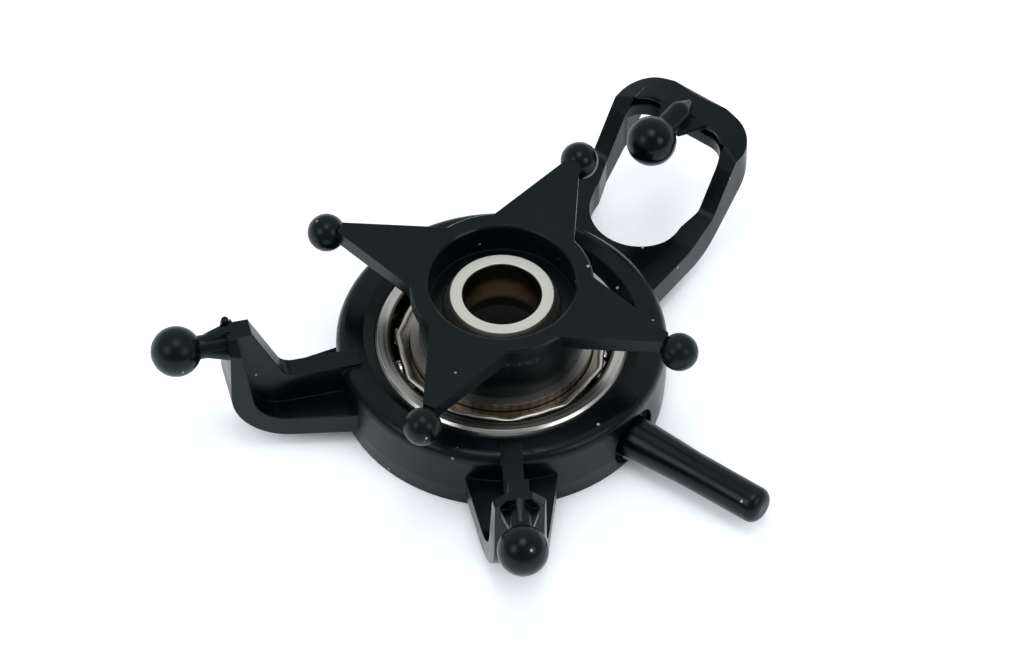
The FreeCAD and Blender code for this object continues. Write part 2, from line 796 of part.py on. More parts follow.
def make_loop():
    """The elevator loop: two legs that rise to a cross bar, with the ball inside the loop."""
    bottom = size.loop_bottom
    top = size.loop_top
    inside = size.loop_half_width - size.loop_leg_width
    root_centre = plate_radius + size.hole_root_gap + size.hole_root_radius
    hole_plan = free_sketch("hole_plan", "XY")
    corners = [
        (size.hole_root_radius, root_centre),
        (inside, shoulder_start),
        (inside, bar_inner),
        (-inside, bar_inner),
        (-inside, shoulder_start),
        (-size.hole_root_radius, root_centre),
    ]
    rounds = {2: size.hole_corner_round, 3: size.hole_corner_round}
    draw_outline(hole_plan, corners, rounds=rounds, arcs={5: (size.hole_root_radius, 1)})
    hole = extrude("loop_hole", hole_plan, (top - bottom) * 4)
    pierced = boolean("Cut", "loop_pierced", make_loop_frame(), hole)

    under_side = free_sketch("under_bar_side", "YZ")
    ceiling = top - size.loop_bar_depth
    near = bar_inner - size.loop_leg_width
    far = size.loop_reach
    draw_outline(under_side, [(near, bottom), (far, bottom), (far, ceiling), (near, ceiling)])
    under = extrude("under_bar", under_side, inside * 2)
    arched = boolean("Cut", "loop_arched", pierced, under)

    groove_side = free_sketch("bar_groove_side", "YZ")
    groove_top = top - size.groove_drop
    groove_foot = groove_top - size.groove_height
    deep = bar_inner + size.groove_depth
    corners = [(near, groove_foot), (deep, groove_foot), (deep, groove_top), (near, groove_top)]
    draw_outline(groove_side, corners)
    groove = extrude("bar_groove", groove_side, size.groove_half_length * 2)
    grooved = boolean("Cut", "loop_grooved", arched, groove)

    neck = size.stud_neck_radius
    tail = bar_inner - size.neck_tail_lead
    profile = [(tail + size.neck_tail_length, size.neck_tail_radius), (tail, neck)]
    stud = fuse("loop_stud_solid", make_stud("loop_stud", size.loop_ball_reach, profile, neck))
    stud.Placement = FreeCAD.Placement(ORIGIN, FreeCAD.Rotation(Z_AXIS, 90))
    return [grooved, make_gusset(), stud]


def make_pin():
    """The anti-rotation pin, a drafted round bar with a rounded tip."""
    section = free_sketch("pin_section", "XZ")
    axis = size.pin_height
    corners = [
        (arm_foot, axis),
        (arm_foot, axis + size.pin_root_radius),
        (size.pin_parallel_start, axis + size.pin_radius),
        (size.pin_reach, axis + size.pin_radius),
        (size.pin_reach, axis),
    ]
    draw_outline(section, corners, rounds={3: size.pin_tip_round})
    return spin("pin", section, X_AXIS, {"z": axis})


def make_outer_ring():
    ring = make_plate_ring()
    pocket = doc.addObject("Part::Cylinder", "pin_pocket")
    pocket.Placement = FreeCAD.Placement(ORIGIN, FreeCAD.Rotation(Y_AXIS, 90))
    bind(pocket, "Radius", size.pin_pocket_radius)
    bind(pocket, "Height", plate_radius)
    bind(pocket, "Placement.Base.x", plate_radius - size.pin_pocket_depth)
    bind(pocket, "Placement.Base.z", size.pin_height)
    recessed = boolean("Cut", "plate_with_pocket", ring, pocket)
    solids = [recessed] + make_servo_arm() + make_loop() + [make_pin()]
    whole = fuse("outer_ring_solid", solids)
    whole.Label = "outer_ring"
    return whole


# ---------------------------------------------------------------- star


def make_star():
    """Hub, skirt and four link arms in one moulding, with the socket for the pivot ball."""
    body = new_body("rotating_star")
    top = size.star_top
    arm_bottom = top - size.star_arm_thickness
    socket = size.pivot_ball_radius + size.socket_clearance
    journal = size.bearing_bore_radius
    lip_bottom = bearing_bottom - size.snap_lip_height
    section = body_sketch(body, "star_section", "XZ")
    corners = [
        (leg_of(socket, size.star_recess_floor), size.star_recess_floor),
        (leg_of(socket, size.socket_mouth_depth), -size.socket_mouth_depth),
        (size.shaft_opening_radius, lip_bottom),
        (journal, lip_bottom),
        (journal + size.snap_lip, bearing_bottom - size.snap_lip_height / 2),
        (journal + size.snap_lip, bearing_bottom),
        (journal, bearing_bottom),
        (journal, size.bearing_top),
        (skirt_radius, size.bearing_top),
        (skirt_radius, size.star_skirt_top),
        (hub_radius, arm_bottom),
        (hub_radius, top - size.star_hub_round),
        (hub_radius - size.star_hub_round, top),
        (recess_radius + size.star_recess_chamfer, top),
        (recess_radius, top - size.star_recess_chamfer),
        (recess_radius, size.star_recess_floor),
    ]
    draw_outline(section, corners, arcs={0: (socket, -1)})
    revolve_body(body, "star_turning", section)

    arm_sketch = body_sketch(body, "star_arm_plan", "XY", arm_bottom)
    reach = size.star_ball_circle
    root, root_half = size.star_arm_root, size.star_arm_root_half_width
    tip, tip_half = reach - size.star_arm_tip_gap, size.star_arm_tip_half_width
    draw_outline(arm_sketch, [(root, -root_half), (tip, -tip_half), (tip, tip_half), (root, root_half)])
    arm = body_feature(body, "Pad", "star_arm", arm_sketch, Length=size.star_arm_thickness)

    ball_sketch = body_sketch(body, "link_ball_section", "XZ")
    height = top - size.star_ball_drop
    radius = size.star_ball_radius
    draw_outline(ball_sketch, [(reach, height - radius), (reach, height + radius)], arcs={0: (radius, 1)})
    ball_axis = ball_sketch.addGeometry(
        Part.LineSegment(flat((reach, height - radius)), flat((reach, height + radius))), True
    )
    pin_down(ball_sketch, ball_axis, 1, (reach, height - radius))
    pin_down(ball_sketch, ball_axis, 2, (reach, height + radius))
    own_axis = (ball_sketch, ["Axis0"])
    ball = body_feature(body, "Revolution", "link_ball", ball_sketch, ReferenceAxis=own_axis, Angle=360)
    polar(body, "star_arms", [arm, ball], size.star_arm_count)

    slot_sketch = body_sketch(body, "snap_slot_outline", "YZ")
    half_slot = size.snap_slot_width / 2
    low = lip_bottom - size.snap_lip_height
    high = lip_bottom + size.snap_slot_length
    draw_outline(slot_sketch, [(-half_slot, low), (half_slot, low), (half_slot, high), (-half_slot, high)])
    slot = body_feature(body, "Pocket", "snap_slot", slot_sketch, Length=hub_radius * 2, Midplane=True)
    polar(body, "snap_slots", [slot], Size(2), angle=90)

    bind(body, "Placement.Rotation.Angle", size.star_angle)
    return body


# ---------------------------------------------------------------- build


def check_document():
    for thing in doc.Objects:
        for word in ("Invalid", "Error"):
            if word in thing.State:
                raise RuntimeError(f"{thing.Label} is {thing.State}")


def check_shape(node):
    if node.Shape.isNull() or not node.Shape.isValid():
        raise RuntimeError(f"{node.Label} has no valid shape")


def main():
    make_sheet()
    nodes = [make_outer_ring(), make_star(), make_pivot_ball(), make_inner_race(), make_outer_race()]
    nodes += make_cage() + make_bearing_balls()
    doc.recompute()
    check_document()
    os.makedirs("parts", exist_ok=True)
    for node in nodes:
        check_shape(node)
    for node in nodes:
        node.Shape.exportStep(f"parts/{node.Label}.step")
        print(f"{node.Label}: {len(node.Shape.Solids)} solid, {node.Shape.Volume:.3f} mm3")


main()
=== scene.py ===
import math
import random

import bmesh
import bpy
from bpy.props import FloatProperty, FloatVectorProperty, PointerProperty
from mathutils import Euler, Matrix, Vector


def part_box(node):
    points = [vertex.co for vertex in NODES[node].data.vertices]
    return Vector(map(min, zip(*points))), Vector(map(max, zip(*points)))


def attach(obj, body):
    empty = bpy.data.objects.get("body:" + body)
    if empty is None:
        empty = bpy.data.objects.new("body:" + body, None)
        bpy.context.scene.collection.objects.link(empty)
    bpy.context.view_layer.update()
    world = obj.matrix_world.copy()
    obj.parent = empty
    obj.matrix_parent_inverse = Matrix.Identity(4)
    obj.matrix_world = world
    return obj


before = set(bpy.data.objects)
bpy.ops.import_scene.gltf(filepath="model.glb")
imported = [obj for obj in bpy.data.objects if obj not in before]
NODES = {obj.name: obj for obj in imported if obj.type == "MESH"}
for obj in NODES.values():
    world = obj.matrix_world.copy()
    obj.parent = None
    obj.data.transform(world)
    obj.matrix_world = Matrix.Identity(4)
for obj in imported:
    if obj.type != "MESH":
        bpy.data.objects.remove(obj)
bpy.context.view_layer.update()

bl_info = {
    "name": "Swashplate Finish",
    "version": (1, 0, 0),
    "blender": (4, 5, 0),
    "location": "View3D > Sidebar > Swashplate",
    "description": "Moulding marks, materials and a studio for a helicopter swashplate",
    "category": "Object",
}

MM = 0.001
BEARING_BALLS = sorted(name for name in NODES if name.startswith("bearing_ball_"))
FLOOR_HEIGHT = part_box("outer_ring")[0][2]

# Socket numbers of the Mix node, whose float and colour sockets share their names.
MIX_FACTOR = 0
MIX_FLOAT_A, MIX_FLOAT_B, MIX_FLOAT_RESULT = 2, 3, 0
MIX_COLOR_A, MIX_COLOR_B, MIX_COLOR_RESULT = 6, 7, 2

# The moulded plastic. Noise scales are per metre; the gains and glosses are shares of the
# settings' colour and roughness.
CLOUD_SCALE = 900
GLOSS_PATCH_SCALE = 420
GRAIN_SCALE = 6500
GRAIN_HEIGHT = 0.01 * MM
FADED_GAIN = 1.8
SHINIEST_SKIN, DULLEST_SKIN = 0.75, 1.45
PLASTIC_IOR = 1.34
PLASTIC_SPECULAR_TINT = (0.80, 0.94, 0.96)

# Dust: a speck's solid core and its edge, as shares of the spacing, and the draw from nought
# to one above which a place holds a speck.
SPECK_CORE, SPECK_EDGE = 0.055, 0.100
SPECK_THRESHOLD = 0.72

# The steels. A wall or a band of painted shade is (start, end, tint): the tint grows from nothing at
# start to full at end. Walls go by radius and the bore's bands by height, both in millimetres.
MARKS_IN_A_MM = 7.0
MARKS_STRENGTH = 0.15
FINE_MARKS = 0.0005 * MM
COARSE_MARKS = 0.002 * MM
SHADED_GAIN = 0.90
SHINIEST_MARKS, DULLEST_MARKS = 0.8, 1.25
STEEL_EDGE_RADIUS = 0.03 * MM
CAGE_EDGE_RADIUS = 0.02 * MM
# Painted shade: the races' walls that face the gap between the two races are darkened.
OUTER_RACE_WALL_SHADE = (4.52, 4.48, (0.16, 0.14, 0.11))
INNER_RACE_WALL_SHADE = (3.58, 3.60, (0.30, 0.22, 0.15))
BORE_WALL_END, BORE_RIM_START = 1.55, 1.58
# Painted shade in the bore: its wall is browned and darkened, and its mouth and its depth darker still.
BORE_BROWN_SHADE = (0.42, 0.30, 0.18)
BORE_MOUTH_SHADE = (0.05, 0.45, (0.10, 0.13, 0.16))
BORE_DEPTH_SHADE = (-0.45, -0.75, (0.05, 0.06, 0.08))

# Modelling. The pip's numbers are shares of its radius, and the flash's shortest tear and
# its curl are shares of its depth.
MERGE_DISTANCE = 0.0005 * MM
RIM_SECTION_SIDES = 12
RIM_STEPS_PER_BALL = 16
PIP_SIDES = 24
PIP_FOOT, PIP_TOP, PIP_ROUNDING = 1.25, 0.8, 0.4
FLASH_SEED = 7
FLASH_STEPS = 40
FLASH_SHORTEST = 0.35
FLASH_CURL = 0.4

# The studio. Lamps stand along (right, up, towards) as the camera sees them. The table's painted
# shadow goes by the share of open sky, and the room by the cosine of the angle to the far side.
TOP_LAMP = (0.0, 0.62, 0.78)
LEFT_LAMP = (-0.66, 0.10, 0.74)
RIGHT_LAMP = (0.66, 0.02, 0.75)
TABLE_HALF_WIDTH = 1.5
PAINTED_SHADOW_FULL, PAINTED_SHADOW_NONE = 0.10, 0.60
ROOM_FRONT_END, ROOM_BACK_START = -0.45, 0.35
ROOM_COLOR = (0.96, 0.98, 1.0)
SENSOR_WIDTH = 36


# ---------------------------------------------------------------- settings


class PlasticSettings(bpy.types.PropertyGroup):
    """Skin of the two black mouldings"""

    color: FloatVectorProperty(
        name="Colour",
        description="Black of the moulded plate and star",
        subtype="COLOR",
        size=3,
        min=0,
        max=1,
        default=(0.0008, 0.0026, 0.0034),
    )
    roughness: FloatProperty(
        name="Roughness",
        description="Gloss of the moulded skin, lower is shinier",
        subtype="FACTOR",
        min=0,
        max=1,
        default=0.25,
    )
    grain: FloatProperty(
        name="Grain",
        description="Strength of the fine texture left by the mould",
        subtype="FACTOR",
        min=0,
        max=1,
        default=0.10,
    )
    edge_radius: FloatProperty(
        name="Edge softness",
        description="How far the moulded edges look rounded",
        unit="LENGTH",
        min=0,
        default=0.08 * MM,
    )
    dust_color: FloatVectorProperty(
        name="Dust colour",
        description="Pale specks that stick to the plastic",
        subtype="COLOR",
        size=3,
        min=0,
        max=1,
        default=(0.55, 0.58, 0.57),
    )
    dust_spacing: FloatProperty(
        name="Dust spacing",
        description="Typical distance between two places where a speck may lie",
        unit="LENGTH",
        min=0.1 * MM,
        default=0.75 * MM,
    )


class SteelSettings(bpy.types.PropertyGroup):
    """Colours of the bearing and the pivot ball"""

    race_color: FloatVectorProperty(
        name="Race colour",
        description="Ground steel of the bearing's races",
        subtype="COLOR",
        size=3,
        min=0,
        max=1,
        default=(0.70, 0.70, 0.66),
    )
    pivot_color: FloatVectorProperty(
        name="Pivot ball colour",
        description="Turned steel of the pivot ball",
        subtype="COLOR",
        size=3,
        min=0,
        max=1,
        default=(0.93, 0.93, 0.85),
    )
    # Painted highlight: the rolled rim is the cage's own steel, painted much lighter than the cage.
    rim_color: FloatVectorProperty(
        name="Rim colour",
        description="Bright rolled rim of the cage",
        subtype="COLOR",
        size=3,
        min=0,
        max=1,
        default=(0.92, 0.90, 0.82),
    )
    # Painted shade: the cage's steel is darkened because it sits in the shade between the races.
    shaded_cage_color: FloatVectorProperty(
        name="Cage colour",
        description="Pressed steel of the cage",
        subtype="COLOR",
        size=3,
        min=0,
        max=1,
        default=(0.34, 0.31, 0.27),
    )
    ball_color: FloatVectorProperty(
        name="Ball colour",
        description="Polished bearing balls",
        subtype="COLOR",
        size=3,
        min=0,
        max=1,
        default=(0.72, 0.72, 0.72),
    )


class RimSettings(bpy.types.PropertyGroup):
    """Rolled rim on the bearing's cage"""

    radius: FloatProperty(
        name="Rim radius",
        description="Shaft to the middle of the cage's rolled rim",
        unit="LENGTH",
        default=3.95 * MM,
    )
    width: FloatProperty(
        name="Rim width",
        description="Across the rolled rim",
        unit="LENGTH",
        default=0.26 * MM,
    )
    rise: FloatProperty(
        name="Rim rise",
        description="How far the rim stands over the cage's flat ring",
        unit="LENGTH",
        default=0.10 * MM,
    )
    kink: FloatProperty(
        name="Kink",
        description="How far the rim steps out between two balls",
        unit="LENGTH",
        default=0.14 * MM,
    )
    kink_half_angle: FloatProperty(
        name="Kink half angle",
        description="From a kink's middle to where it has died out",
        subtype="ANGLE",
        default=math.radians(9),
    )


class MarkSettings(bpy.types.PropertyGroup):
    """What the moulding leaves behind: a sprue stub and a sliver of flash"""

    pip_place: FloatVectorProperty(
        name="Stub place",
        description="Where the stub leaves the arm, on its axis",
        subtype="TRANSLATION",
        size=3,
        default=(-7.39 * MM, -8.10 * MM, 1.97 * MM),
    )
    pip_radius: FloatProperty(
        name="Stub radius",
        description="Radius of the stub, about where it leaves the arm",
        unit="LENGTH",
        default=0.17 * MM,
    )
    pip_height: FloatProperty(
        name="Stub height",
        description="How far the stub stands over its place; it sinks in as far",
        unit="LENGTH",
        default=0.22 * MM,
    )
    flash_radius: FloatProperty(
        name="Flash radius",
        description="Shaft to the flash on the hub's edge",
        unit="LENGTH",
        default=3.58 * MM,
    )
    flash_height: FloatProperty(
        name="Flash height",
        description="Height of the edge that the flash hangs from",
        unit="LENGTH",
        default=1.32 * MM,
    )
    flash_start: FloatProperty(
        name="Flash start",
        description="Where the flash begins, turned from +X",
        subtype="ANGLE",
        default=math.radians(-62),
    )
    flash_span: FloatProperty(
        name="Flash span",
        description="How far the flash runs along the hub's edge",
        subtype="ANGLE",
        default=math.radians(33),
    )
    flash_depth: FloatProperty(
        name="Flash depth",
        description="How far the longest tear hangs down",
        unit="LENGTH",
        default=0.30 * MM,
    )


class StudioSettings(bpy.types.PropertyGroup):
    """Camera, table, lamps and room"""

    azimuth: FloatProperty(
        name="Azimuth",
        description="Camera's turn round the object, from the front",
        subtype="ANGLE",
        default=math.radians(36.05),
    )
    elevation: FloatProperty(
        name="Elevation",
        description="Camera's height above the horizon",
        subtype="ANGLE",
        default=math.radians(49.25),
    )
    roll: FloatProperty(
        name="Roll",
        description="Camera's tilt about its own line of sight",
        subtype="ANGLE",
        default=math.radians(0.486),
    )
    distance: FloatProperty(
        name="Distance",
        description="From the camera to the point it looks at",
        unit="LENGTH",
        default=360 * MM,
    )
    lens: FloatProperty(
        name="Focal length",
        description="In millimetres, on a 36 mm wide sensor",
        unit="CAMERA",
        min=1,
        default=322.73,
    )
    aim: FloatVectorProperty(
        name="Aim",
        description="The point that the camera looks at",
        subtype="TRANSLATION",
        size=3,
        default=(0.209 * MM, 0.397 * MM, -1.049 * MM),
    )
    floor_color: FloatVectorProperty(
        name="Floor colour",
        description="Pale table under the object",
        subtype="COLOR",
        size=3,
        min=0,
        max=1,
        default=(0.93, 0.95, 0.97),
    )
    floor_glow: FloatVectorProperty(
        name="Floor glow",
        description="Light added to the table where it is seen directly or mirrored",
        subtype="COLOR",
        size=3,
        min=0,
        max=1,
        default=(0.50, 0.53, 0.56),
    )
    painted_shadow_reach: FloatProperty(
        name="Shade reach",
        description="How far from the table a piece still takes away its glow",
        unit="LENGTH",
        min=0,
        default=5 * MM,
    )
    top_power: FloatProperty(
        name="Top light",
        description="Power of the lamp overhead",
        unit="POWER",
        min=0,
        default=0.15,
    )
    side_power: FloatProperty(
        name="Side lights",
        description="Power of each lamp beside the camera",
        unit="POWER",
        min=0,
        default=0.115,
    )
    lamp_width: FloatProperty(
        name="Lamp width",
        description="Diameter of each lamp's soft disc",
        unit="LENGTH",
        min=0,
        default=140 * MM,
    )
    lamp_distance: FloatProperty(
        name="Lamp distance",
        description="From the object to each lamp",
        unit="LENGTH",
        min=0,
        default=300 * MM,
    )
    room_behind: FloatProperty(
        name="Room behind",
        description="Strength of the room's light on the far side of the object",
        min=0,
        default=0.60,
    )
    room_in_front: FloatProperty(
        name="Room in front",
        description="Strength of the room's light on the camera's side",
        min=0,
        default=0.28,
    )


# ---------------------------------------------------------------- material helpers


def new_material(name):
    """A material with its node tree and its shader."""
    material = bpy.data.materials.new(name)
    material.use_nodes = True
    tree = material.node_tree
    shader = next(node for node in tree.nodes if node.type == "BSDF_PRINCIPLED")
    return material, tree, shader


def add_node(tree, kind, **settings):
    """A node of the given kind; settings name its inputs or its own properties."""
    node = tree.nodes.new(kind)
    for key, value in settings.items():
        socket = next((item for item in node.inputs if item.name == key.replace("_", " ")), None)
        if socket is not None:
            socket.default_value = value
        else:
            setattr(node, key, value)
    return node


def feed(tree, value, socket):
    """Link the value where it is a socket, and set it where it is a number or a colour."""
    if isinstance(value, bpy.types.NodeSocket):
        tree.links.new(value, socket)
    elif socket.type == "RGBA":
        socket.default_value = (*value, 1)
    else:
        socket.default_value = value


def object_place(tree):
    """The point on the object, in its own coordinates."""
    return add_node(tree, "ShaderNodeTexCoord").outputs["Object"]


def object_noise(tree, scale, detail):
    """Noise that stays put on the object."""
    noise = add_node(tree, "ShaderNodeTexNoise", Scale=scale, Detail=detail)
    tree.links.new(object_place(tree), noise.inputs["Vector"])
    return noise.outputs["Fac"]


def calculate(tree, operation, first, second):
    """The result of a Math node; each input is a socket or a number."""
    math_node = add_node(tree, "ShaderNodeMath", operation=operation)
    feed(tree, first, math_node.inputs[0])
    feed(tree, second, math_node.inputs[1])
    return math_node.outputs["Value"]


def ramp_between(tree, source, low, high, start=0.35, end=0.65):
    """Blend from low to high as the source goes from start to end, by default most of a noise."""
    ramp = add_node(tree, "ShaderNodeMapRange", From_Min=start, From_Max=end, To_Min=low, To_Max=high)
    tree.links.new(source, ramp.inputs["Value"])
    return ramp.outputs["Result"]


def mix_color(tree, factor, first, second, blend_type="MIX"):
    """Blend two colours by the factor; each of the three is a socket or a plain value."""
    mix = add_node(tree, "ShaderNodeMix", data_type="RGBA", blend_type=blend_type)
    feed(tree, factor, mix.inputs[MIX_FACTOR])
    feed(tree, first, mix.inputs[MIX_COLOR_A])
    feed(tree, second, mix.inputs[MIX_COLOR_B])
    return mix.outputs[MIX_COLOR_RESULT]


def tint_beyond(tree, color, value, start, end, tint):
    """Multiply a colour by the tint as the value goes from start to end."""
    factor = ramp_between(tree, value, 0, 1, start, end)
    return mix_color(tree, factor, color, tint, "MULTIPLY")


def soft_edges(tree, shader, radius, height, strength, distance):
    """Rounded-looking edges with a fine bump on top."""
    bevel = add_node(tree, "ShaderNodeBevel", samples=6, Radius=radius)
    bump = add_node(tree, "ShaderNodeBump", Strength=strength, Distance=distance)
    tree.links.new(height, bump.inputs["Height"])
    tree.links.new(bevel.outputs["Normal"], bump.inputs["Normal"])
    tree.links.new(bump.outputs["Normal"], shader.inputs["Normal"])


def seen_or_mirrored(tree):
    """One for what the camera sees directly or in a mirror, nought for light on the object."""
    path = add_node(tree, "ShaderNodeLightPath")
    return calculate(tree, "MAXIMUM", path.outputs["Is Camera Ray"], path.outputs["Is Glossy Ray"])


def radius_and_height(tree):
    """Distance from the shaft's axis and height along it, both in millimetres."""
    place = object_place(tree)
    flat = add_node(tree, "ShaderNodeVectorMath", operation="MULTIPLY")
    flat.inputs[1].default_value = (1 / MM, 1 / MM, 0)
    length = add_node(tree, "ShaderNodeVectorMath", operation="LENGTH")
    split = add_node(tree, "ShaderNodeSeparateXYZ")
    tree.links.new(place, flat.inputs[0])
    tree.links.new(flat.outputs["Vector"], length.inputs[0])
    tree.links.new(place, split.inputs[0])
    return length.outputs["Value"], calculate(tree, "MULTIPLY", split.outputs["Z"], 1 / MM)


def turned_marks(tree, radius, height):
    """Noise that runs in rings round the axis, as a lathe or a grinder leaves it."""
    place = add_node(tree, "ShaderNodeCombineXYZ")
    tree.links.new(radius, place.inputs["X"])
    tree.links.new(height, place.inputs["Z"])
    noise = add_node(tree, "ShaderNodeTexNoise", Scale=MARKS_IN_A_MM, Detail=3.0)
    tree.links.new(place.outputs["Vector"], noise.inputs["Vector"])
    return noise.outputs["Fac"]


def dust_specks(tree, spacing):
    """One where a speck of dust lies and nought elsewhere."""
    cells = add_node(tree, "ShaderNodeTexVoronoi", Scale=1 / spacing)
    tree.links.new(object_place(tree), cells.inputs["Vector"])
    speck = ramp_between(tree, cells.outputs["Distance"], 1, 0, SPECK_CORE, SPECK_EDGE)
    dice = add_node(tree, "ShaderNodeSeparateColor")
    tree.links.new(cells.outputs["Color"], dice.inputs[0])
    chosen = calculate(tree, "GREATER_THAN", dice.outputs[0], SPECK_THRESHOLD)
    return calculate(tree, "MULTIPLY", speck, chosen)


def make_plastic(settings):
    """Black nylon with the skin of a used mould and a little dust."""
    material, tree, shader = new_material("moulded_black_nylon")
    fresh = tuple(settings.color)
    faded = tuple(channel * FADED_GAIN for channel in fresh)
    clouds = ramp_between(tree, object_noise(tree, CLOUD_SCALE, detail=3.0), 0, 1)
    skin = mix_color(tree, clouds, fresh, faded)
    dusty = mix_color(tree, dust_specks(tree, settings.dust_spacing), skin, settings.dust_color)
    tree.links.new(dusty, shader.inputs["Base Color"])
    patches = object_noise(tree, GLOSS_PATCH_SCALE, detail=4.0)
    low, high = settings.roughness * SHINIEST_SKIN, settings.roughness * DULLEST_SKIN
    tree.links.new(ramp_between(tree, patches, low, high), shader.inputs["Roughness"])
    shader.inputs["IOR"].default_value = PLASTIC_IOR
    shader.inputs["Specular Tint"].default_value = (*PLASTIC_SPECULAR_TINT, 1)
    grain = object_noise(tree, GRAIN_SCALE, detail=2.0)
    soft_edges(tree, shader, settings.edge_radius, grain, settings.grain, GRAIN_HEIGHT)
    return material


def shade_bore(tree, radius, height, outside):
    """Keep the colour outside the bore; paint shade into the bore: brown and darken its wall, and
    darken its mouth and its depth further.
    """
    shaded_lining = mix_color(tree, 1.0, outside, BORE_BROWN_SHADE, "MULTIPLY")
    for start, end, tint in (BORE_MOUTH_SHADE, BORE_DEPTH_SHADE):
        shaded_lining = tint_beyond(tree, shaded_lining, height, start, end, tint)
    inside = ramp_between(tree, radius, 1, 0, BORE_WALL_END, BORE_RIM_START)
    return mix_color(tree, inside, outside, shaded_lining)


def make_steel(name, color, roughness, edge_radius=0.0, marks_depth=FINE_MARKS, wall=None, bored=False):
    """Bright steel with rings of tool marks, and painted shade on a wall or in a lined bore where
    asked.
    """
    material, tree, shader = new_material(name)
    shader.inputs["Metallic"].default_value = 1.0
    radius, height = radius_and_height(tree)
    marks = turned_marks(tree, radius, height)
    shaded = tuple(channel * SHADED_GAIN for channel in color)
    skin = mix_color(tree, ramp_between(tree, marks, 0, 1), tuple(color), shaded)
    if wall is not None:
        start, end, tint = wall
        skin = tint_beyond(tree, skin, radius, start, end, tint)
    if bored:
        skin = shade_bore(tree, radius, height, skin)
    tree.links.new(skin, shader.inputs["Base Color"])
    gloss = ramp_between(tree, marks, roughness * SHINIEST_MARKS, roughness * DULLEST_MARKS)
    tree.links.new(gloss, shader.inputs["Roughness"])
    soft_edges(tree, shader, edge_radius, marks, MARKS_STRENGTH, marks_depth)
    return material


def paint(node_names, material):
    """Give the CAD pieces this material alone."""
    for name in node_names:
        slots = NODES[name].data.materials
        slots.clear()
        slots.append(material)


# ---------------------------------------------------------------- modelling helpers


def finish_piece(shape, name, body, material):
    """Turn the bmesh into an object that rides the body."""
    bmesh.ops.remove_doubles(shape, verts=shape.verts, dist=MERGE_DISTANCE)
    bmesh.ops.recalc_face_normals(shape, faces=shape.faces)
    mesh = bpy.data.meshes.new(name)
    shape.to_mesh(mesh)
    shape.free()
    for face in mesh.polygons:
        face.use_smooth = True
    mesh.materials.append(material)
    piece = bpy.data.objects.new(name, mesh)
    bpy.context.scene.collection.objects.link(piece)
    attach(piece, body)


def polar_place(radius, angle, height):
    """The point at this radius, angle from +X and height."""
    return Vector((radius * math.cos(angle), radius * math.sin(angle), height))


# ---------------------------------------------------------------- operators


class SWASHPLATE_OT_cage_rim(bpy.types.Operator):
    """Roll the cage's upper rim, with a small kink outwards between every two balls"""

    bl_idname = "swashplate.cage_rim"
    bl_label = "Roll cage rim"
    bl_options = {"UNDO"}

    def execute(self, context):
        rim = context.scene.swashplate_rim
        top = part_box("bearing_cage_upper")[1][2]
        count = len(BEARING_BALLS)
        shape = bmesh.new()
        wire = bmesh.ops.create_circle(shape, segments=RIM_SECTION_SIDES, radius=rim.width / 2)["verts"]
        bmesh.ops.scale(shape, verts=wire, vec=(1, 2 * rim.rise / rim.width, 1))
        bmesh.ops.rotate(shape, verts=wire, matrix=Matrix.Rotation(math.pi / 2, 3, "X"))
        bmesh.ops.translate(shape, verts=wire, vec=(rim.radius, 0, top))
        bmesh.ops.spin(shape, geom=shape.verts[:] + shape.edges[:], axis=(0, 0, 1), cent=(0, 0, 0),
                       angle=math.tau, steps=RIM_STEPS_PER_BALL * count, use_merge=True)
        # A kink stands half a pitch from each ball, where turn is a whole number.
        for vert in shape.verts:
            turn = math.atan2(vert.co.y, vert.co.x) * count / math.tau + 0.5
            from_kink = abs(turn - round(turn)) * math.tau / count
            lift = max(0.0, 1 - from_kink / rim.kink_half_angle) * rim.kink
            outward = Vector((vert.co.x, vert.co.y, 0)).normalized()
            vert.co += outward * lift
        steel = context.scene.swashplate_steel
        # The rim's lighter steel is a painted highlight.
        highlighted_rim_steel = make_steel("rolled_rim_steel_painted_highlight", steel.rim_color, roughness=0.38)
        finish_piece(shape, "cage_rolled_rim", "cage", highlighted_rim_steel)
        return {"FINISHED"}


class SWASHPLATE_OT_arm_pip(bpy.types.Operator):
    """Leave the stub of a cut sprue on top of the left servo arm"""

    bl_idname = "swashplate.arm_pip"
    bl_label = "Leave sprue stub"
    bl_options = {"UNDO"}

    def execute(self, context):
        marks = context.scene.swashplate_marks
        shape = bmesh.new()
        bmesh.ops.create_cone(shape, cap_ends=True, segments=PIP_SIDES,
                              radius1=marks.pip_radius * PIP_FOOT,
                              radius2=marks.pip_radius * PIP_TOP, depth=marks.pip_height * 2)
        rim = [edge for edge in shape.edges if all(vert.co.z > 0 for vert in edge.verts)]
        bmesh.ops.bevel(shape, geom=rim, offset=marks.pip_radius * PIP_ROUNDING, segments=3,
                        profile=0.5, affect="EDGES", material=-1)
        bmesh.ops.translate(shape, verts=shape.verts, vec=Vector(marks.pip_place))
        plastic = NODES["outer_ring"].data.materials[0]
        finish_piece(shape, "arm_sprue_stub", "fixed_plate", plastic)
        return {"FINISHED"}


